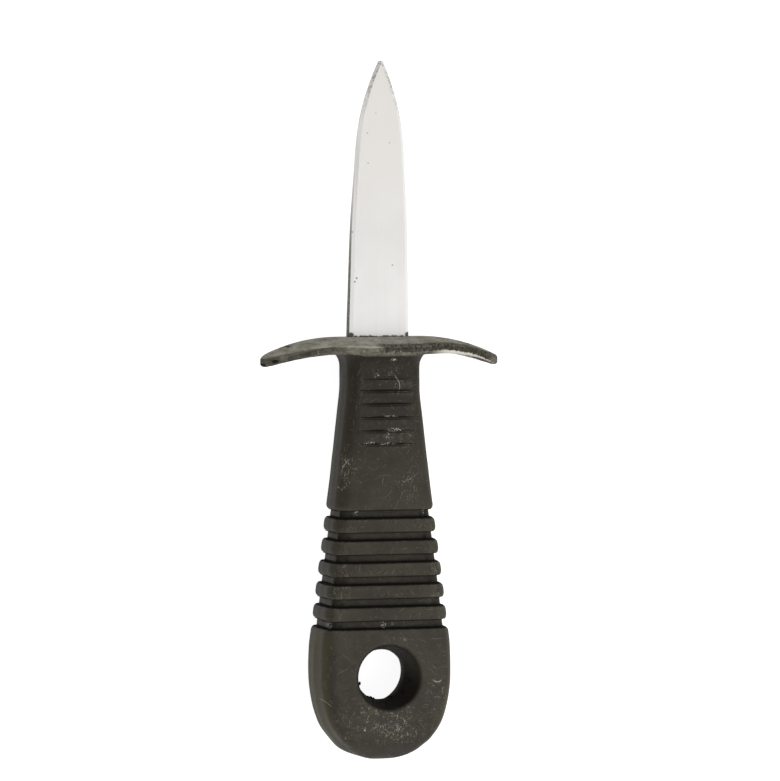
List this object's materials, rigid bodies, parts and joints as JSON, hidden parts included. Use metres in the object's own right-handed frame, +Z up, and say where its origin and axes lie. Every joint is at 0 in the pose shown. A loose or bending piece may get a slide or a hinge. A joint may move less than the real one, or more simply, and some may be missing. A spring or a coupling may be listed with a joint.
{
  "type": "oyster knife",
  "caption": "Guarded oyster knife: short pointed steel blade in a moulded handle with a bowed oval guard, thumb notches, grip ribs and a hanging hole.",
  "frame": {"origin": "centre of the bounding box's bottom, on the table the knife lies on", "axes": "+Y along the knife from butt to tip, +Z up out of the blade's front flat, +X to the right seen from above with the tip away"},
  "size_m": [0.056, 0.1598, 0.026],
  "materials": {
    "blade_steel": "fine ground, satin",
    "handle_polymer": "moulded matte, olive charcoal"
  },
  "bodies": {
    "root": {"blade": "blade_steel", "handle": "handle_polymer"}
  },
  "joints": []
}
